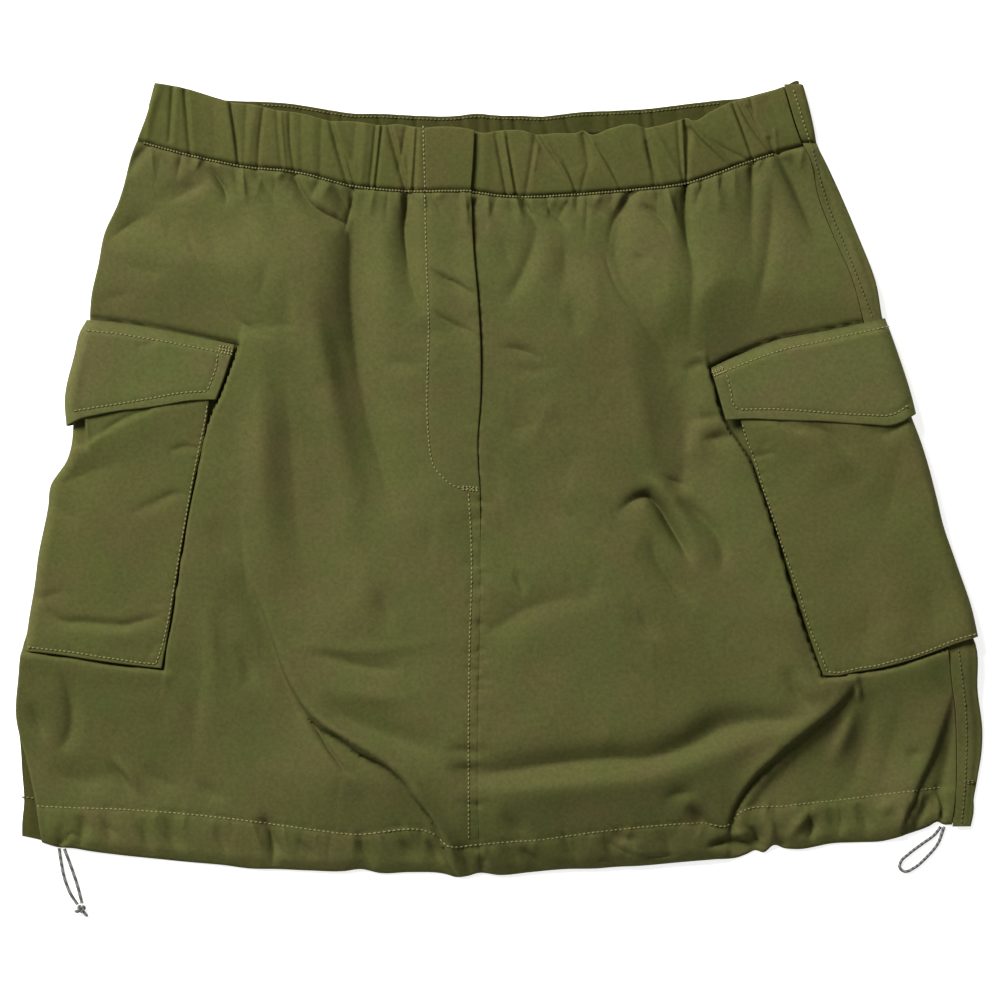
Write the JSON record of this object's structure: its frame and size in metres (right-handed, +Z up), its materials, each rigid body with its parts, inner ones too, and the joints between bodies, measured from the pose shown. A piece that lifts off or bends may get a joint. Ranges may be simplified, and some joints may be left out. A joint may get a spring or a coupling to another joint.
{
  "type": "cargo utility skirt",
  "caption": "Cargo utility mini skirt laid flat on its back: gathered elastic waistband, overlapping fly, flapped side pockets and a drawcord hem.",
  "frame": {"origin": "on the floor, at the middle of the laid skirt's outline without its drawcords", "axes": "+X towards the right of the front as it is seen from above, +Y towards the waist, +Z up out of the front"},
  "size_m": [0.5318, 0.4575, 0.0147],
  "materials": {
    "body": "matt olive-drab plain weave with a faint sheen",
    "band": "the same cloth, gathered on elastic",
    "pocket": "the same cloth, topstitched at the edge",
    "flap": "the same cloth, doubled and topstitched",
    "gusset": "the same cloth, in shade",
    "cord": "dark grey round elastic cord"
  },
  "bodies": {
    "root": {"back_panel": "body", "front_panel_left": "body", "front_panel_right": "body", "waistband_back": "band", "waistband_front_left": "band", "waistband_front_right": "band", "pocket_face_left": "pocket", "pocket_face_right": "pocket", "pocket_flap_left": "flap", "pocket_flap_right": "flap", "pocket_gusset_left": "gusset", "pocket_gusset_right": "gusset", "drawcord_left_outer": "cord", "drawcord_left_inner": "cord", "drawcord_right": "cord", "drawcord_knot": "cord"}
  },
  "joints": []
}
